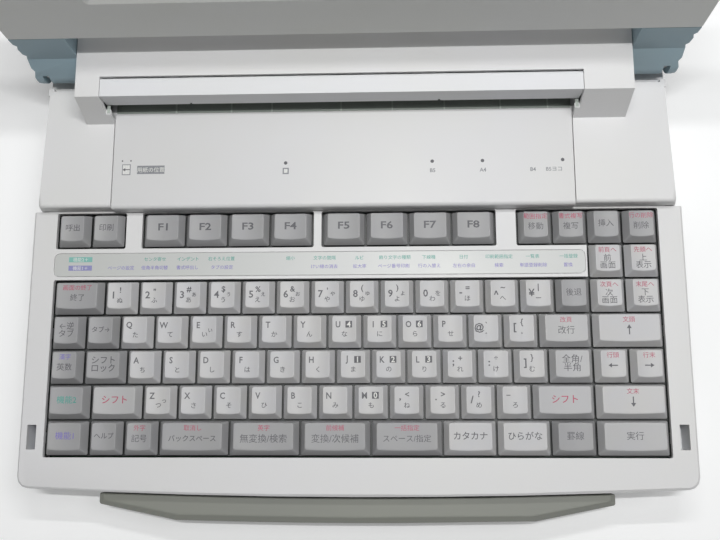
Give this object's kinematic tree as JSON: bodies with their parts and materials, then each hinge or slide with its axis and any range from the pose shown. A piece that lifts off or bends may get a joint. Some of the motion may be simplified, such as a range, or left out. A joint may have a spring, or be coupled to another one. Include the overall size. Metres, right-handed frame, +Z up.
{
  "type": "electronic word processor",
  "caption": "portable word processor with a sculpted keyboard, a built-in front-loading printer, a floppy drive, a pull-out handle and a tilting screen lid, open as in use",
  "frame": {"origin": "on the table under the middle of the machine as it stands open, handle and lid included", "axes": "+X to the right of the person typing and along the machine's width, +Y to the rear, +Z up"},
  "size_m": [0.3643, 0.3111, 0.2917],
  "materials": {
    "case_shell": "fine spark texture, light warm grey ABS",
    "lid_face": "fine spark texture, light grey ABS",
    "table_panel": "smooth satin light grey panel",
    "label_strip": "printed pale film",
    "arm_slate": "satin slate blue-grey",
    "handle_grey": "satin grey with a green cast",
    "flap_grey": "fine satin light grey",
    "cap_light": "matt light key plastic",
    "cap_pale": "matt pale grey key plastic",
    "cap_grey": "matt mid grey key plastic",
    "dark_plastic": "matt black moulding",
    "board_green": "satin solder mask",
    "bright_steel": "bright zinc plated and ground steel",
    "roller_rubber": "ground black rubber",
    "display_glass": "grey-green liquid crystal display, switched off"
  },
  "bodies": {
    "machine": {"lower_case": "case_shell", "keyboard_bezel": "case_shell", "printer_case": "case_shell", "paper_table": "table_panel", "legend_strip": "label_strip", "key_guide_plate": "dark_plastic", "main_board": "board_green", "printer_chassis": "bright_steel", "guide_shaft": "bright_steel", "hinge_pin_left": "bright_steel", "hinge_pin_right": "bright_steel", "floppy_drive": "dark_plastic", "carriage_motor": "bright_steel", "power_supply": "bright_steel"},
    "lid": {"lid_back": "case_shell", "lid_bezel": "lid_face", "lcd_panel": "display_glass", "hinge_arm_left": "arm_slate", "hinge_arm_right": "arm_slate"},
    "flap": {"slot_flap": "flap_grey"},
    "rear_cover": {"printer_cover": "case_shell"},
    "handle": {"carry_handle": "handle_grey"},
    "feed": {"feed_roller": "roller_rubber"},
    "pinch": {"pinch_roller": "dark_plastic"},
    "carriage": {"print_carriage": "dark_plastic", "ink_cartridge": "dark_plastic"},
    "eject": {"eject_button": "handle_grey"},
    "switch": {"power_switch": "dark_plastic"},
    "keys_recall_body": {"keys_recall": "cap_grey"},
    "keys_f1_to_f4_body": {"keys_f1_to_f4": "cap_grey"},
    "keys_f5_to_f8_body": {"keys_f5_to_f8": "cap_grey"},
    "keys_edit_body": {"keys_edit": "cap_grey"},
    "keys_page_body": {"keys_page": "cap_light"},
    "key_exit_body": {"key_exit": "cap_grey"},
    "keys_digits_body": {"keys_digits": "cap_light"},
    "key_delete_body": {"key_delete": "cap_grey"},
    "keys_tab_body": {"keys_tab": "cap_grey"},
    "keys_letters_upper_body": {"keys_letters_upper": "cap_light"},
    "key_return_body": {"key_return": "cap_pale"},
    "key_up_body": {"key_up": "cap_light"},
    "key_language_body": {"key_language": "cap_grey"},
    "key_shift_lock_body": {"key_shift_lock": "cap_grey"},
    "keys_letters_middle_body": {"keys_letters_middle": "cap_light"},
    "key_width_body": {"key_width": "cap_pale"},
    "key_left_body": {"key_left": "cap_light"},
    "key_right_body": {"key_right": "cap_light"},
    "key_function_2_body": {"key_function_2": "cap_grey"},
    "key_shift_left_body": {"key_shift_left": "cap_pale"},
    "keys_letters_lower_body": {"keys_letters_lower": "cap_light"},
    "key_shift_right_body": {"key_shift_right": "cap_pale"},
    "key_down_body": {"key_down": "cap_light"},
    "key_function_1_body": {"key_function_1": "cap_grey"},
    "keys_help_body": {"keys_help": "cap_grey"},
    "key_backspace_body": {"key_backspace": "cap_grey"},
    "key_cancel_body": {"key_cancel": "cap_grey"},
    "key_convert_body": {"key_convert": "cap_grey"},
    "key_space_body": {"key_space": "cap_grey"},
    "keys_script_body": {"keys_script": "cap_light"},
    "key_ruler_body": {"key_ruler": "cap_grey"},
    "key_execute_body": {"key_execute": "cap_pale"}
  },
  "joints": [
    {"name": "lid_hinge", "type": "hinge", "parent": "machine", "child": "lid", "pos_m": [0, 0.0957, 0.0562], "axis": [1, 0, 0], "range_deg": [-25, 95]},
    {"name": "handle_slide", "type": "slide", "parent": "machine", "child": "handle", "axis": [0, -1, 0], "range_m": [0, 0.04]},
    {"name": "flap_hinge", "type": "hinge", "parent": "machine", "child": "flap", "pos_m": [0, 0.0794, 0.071], "axis": [1, 0, 0], "range_deg": [-70, 0]},
    {"name": "rear_cover_hinge", "type": "hinge", "parent": "machine", "child": "rear_cover", "pos_m": [0, 0.149, 0.071], "axis": [1, 0, 0], "range_deg": [-100, 0]},
    {"name": "carriage_slide", "type": "slide", "parent": "machine", "child": "carriage", "axis": [1, 0, 0], "range_m": [-0.194, 0.004]},
    {"name": "feed_spin", "type": "hinge", "parent": "machine", "child": "feed", "pos_m": [0, 0.106, 0.037], "axis": [1, 0, 0], "continuous": true},
    {"name": "pinch_spin", "type": "hinge", "parent": "machine", "child": "pinch", "pos_m": [0, 0.106, 0.0494], "axis": [1, 0, 0], "continuous": true},
    {"name": "eject_press", "type": "slide", "parent": "machine", "child": "eject", "axis": [-1, 0, 0], "range_m": [0, 0.003], "stiffness_N_per_m": 150, "springref_m": -0.002},
    {"name": "switch_slide", "type": "slide", "parent": "machine", "child": "switch", "axis": [0, 1, 0], "range_m": [-0.003, 0.003]},
    {"name": "keys_recall_press", "type": "slide", "parent": "machine", "child": "keys_recall_body", "axis": [0, 0, -1], "range_m": [0, 0.003], "stiffness_N_per_m": 250, "springref_m": -0.002},
    {"name": "keys_f1_to_f4_press", "type": "slide", "parent": "machine", "child": "keys_f1_to_f4_body", "axis": [0, 0, -1], "range_m": [0, 0.003], "stiffness_N_per_m": 400, "springref_m": -0.002},
    {"name": "keys_f5_to_f8_press", "type": "slide", "parent": "machine", "child": "keys_f5_to_f8_body", "axis": [0, 0, -1], "range_m": [0, 0.003], "stiffness_N_per_m": 400, "springref_m": -0.002},
    {"name": "keys_edit_press", "type": "slide", "parent": "machine", "child": "keys_edit_body", "axis": [0, 0, -1], "range_m": [0, 0.003], "stiffness_N_per_m": 400, "springref_m": -0.002},
    {"name": "keys_page_press", "type": "slide", "parent": "machine", "child": "keys_page_body", "axis": [0, 0, -1], "range_m": [0, 0.003], "stiffness_N_per_m": 400, "springref_m": -0.002},
    {"name": "key_exit_press", "type": "slide", "parent": "machine", "child": "key_exit_body", "axis": [0, 0, -1], "range_m": [0, 0.003], "stiffness_N_per_m": 150, "springref_m": -0.002},
    {"name": "keys_digits_press", "type": "slide", "parent": "machine", "child": "keys_digits_body", "axis": [0, 0, -1], "range_m": [0, 0.003], "stiffness_N_per_m": 900, "springref_m": -0.002},
    {"name": "key_delete_press", "type": "slide", "parent": "machine", "child": "key_delete_body", "axis": [0, 0, -1], "range_m": [0, 0.003], "stiffness_N_per_m": 150, "springref_m": -0.002},
    {"name": "keys_tab_press", "type": "slide", "parent": "machine", "child": "keys_tab_body", "axis": [0, 0, -1], "range_m": [0, 0.003], "stiffness_N_per_m": 250, "springref_m": -0.002},
    {"name": "keys_letters_upper_press", "type": "slide", "parent": "machine", "child": "keys_letters_upper_body", "axis": [0, 0, -1], "range_m": [0, 0.003], "stiffness_N_per_m": 900, "springref_m": -0.002},
    {"name": "key_return_press", "type": "slide", "parent": "machine", "child": "key_return_body", "axis": [0, 0, -1], "range_m": [0, 0.003], "stiffness_N_per_m": 150, "springref_m": -0.002},
    {"name": "key_up_press", "type": "slide", "parent": "machine", "child": "key_up_body", "axis": [0, 0, -1], "range_m": [0, 0.003], "stiffness_N_per_m": 150, "springref_m": -0.002},
    {"name": "key_language_press", "type": "slide", "parent": "machine", "child": "key_language_body", "axis": [0, 0, -1], "range_m": [0, 0.003], "stiffness_N_per_m": 150, "springref_m": -0.002},
    {"name": "key_shift_lock_press", "type": "slide", "parent": "machine", "child": "key_shift_lock_body", "axis": [0, 0, -1], "range_m": [0, 0.003], "stiffness_N_per_m": 150, "springref_m": -0.002},
    {"name": "keys_letters_middle_press", "type": "slide", "parent": "machine", "child": "keys_letters_middle_body", "axis": [0, 0, -1], "range_m": [0, 0.003], "stiffness_N_per_m": 900, "springref_m": -0.002},
    {"name": "key_width_press", "type": "slide", "parent": "machine", "child": "key_width_body", "axis": [0, 0, -1], "range_m": [0, 0.003], "stiffness_N_per_m": 150, "springref_m": -0.002},
    {"name": "key_left_press", "type": "slide", "parent": "machine", "child": "key_left_body", "axis": [0, 0, -1], "range_m": [0, 0.003], "stiffness_N_per_m": 150, "springref_m": -0.002},
    {"name": "key_right_press", "type": "slide", "parent": "machine", "child": "key_right_body", "axis": [0, 0, -1], "range_m": [0, 0.003], "stiffness_N_per_m": 150, "springref_m": -0.002},
    {"name": "key_function_2_press", "type": "slide", "parent": "machine", "child": "key_function_2_body", "axis": [0, 0, -1], "range_m": [0, 0.003], "stiffness_N_per_m": 150, "springref_m": -0.002},
    {"name": "key_shift_left_press", "type": "slide", "parent": "machine", "child": "key_shift_left_body", "axis": [0, 0, -1], "range_m": [0, 0.003], "stiffness_N_per_m": 150, "springref_m": -0.002},
    {"name": "keys_letters_lower_press", "type": "slide", "parent": "machine", "child": "keys_letters_lower_body", "axis": [0, 0, -1], "range_m": [0, 0.003], "stiffness_N_per_m": 800, "springref_m": -0.002},
    {"name": "key_shift_right_press", "type": "slide", "parent": "machine", "child": "key_shift_right_body", "axis": [0, 0, -1], "range_m": [0, 0.003], "stiffness_N_per_m": 150, "springref_m": -0.002},
    {"name": "key_down_press", "type": "slide", "parent": "machine", "child": "key_down_body", "axis": [0, 0, -1], "range_m": [0, 0.003], "stiffness_N_per_m": 150, "springref_m": -0.002},
    {"name": "key_function_1_press", "type": "slide", "parent": "machine", "child": "key_function_1_body", "axis": [0, 0, -1], "range_m": [0, 0.003], "stiffness_N_per_m": 150, "springref_m": -0.002},
    {"name": "keys_help_press", "type": "slide", "parent": "machine", "child": "keys_help_body", "axis": [0, 0, -1], "range_m": [0, 0.003], "stiffness_N_per_m": 250, "springref_m": -0.002},
    {"name": "key_backspace_press", "type": "slide", "parent": "machine", "child": "key_backspace_body", "axis": [0, 0, -1], "range_m": [0, 0.003], "stiffness_N_per_m": 150, "springref_m": -0.002},
    {"name": "key_cancel_press", "type": "slide", "parent": "machine", "child": "key_cancel_body", "axis": [0, 0, -1], "range_m": [0, 0.003], "stiffness_N_per_m": 150, "springref_m": -0.002},
    {"name": "key_convert_press", "type": "slide", "parent": "machine", "child": "key_convert_body", "axis": [0, 0, -1], "range_m": [0, 0.003], "stiffness_N_per_m": 150, "springref_m": -0.002},
    {"name": "key_space_press", "type": "slide", "parent": "machine", "child": "key_space_body", "axis": [0, 0, -1], "range_m": [0, 0.003], "stiffness_N_per_m": 150, "springref_m": -0.002},
    {"name": "keys_script_press", "type": "slide", "parent": "machine", "child": "keys_script_body", "axis": [0, 0, -1], "range_m": [0, 0.003], "stiffness_N_per_m": 250, "springref_m": -0.002},
    {"name": "key_ruler_press", "type": "slide", "parent": "machine", "child": "key_ruler_body", "axis": [0, 0, -1], "range_m": [0, 0.003], "stiffness_N_per_m": 150, "springref_m": -0.002},
    {"name": "key_execute_press", "type": "slide", "parent": "machine", "child": "key_execute_body", "axis": [0, 0, -1], "range_m": [0, 0.003], "stiffness_N_per_m": 150, "springref_m": -0.002}
  ],
  "couplings": [
    {"joint": "pinch_spin", "follows": "feed_spin", "ratio": -1.4}
  ]
}
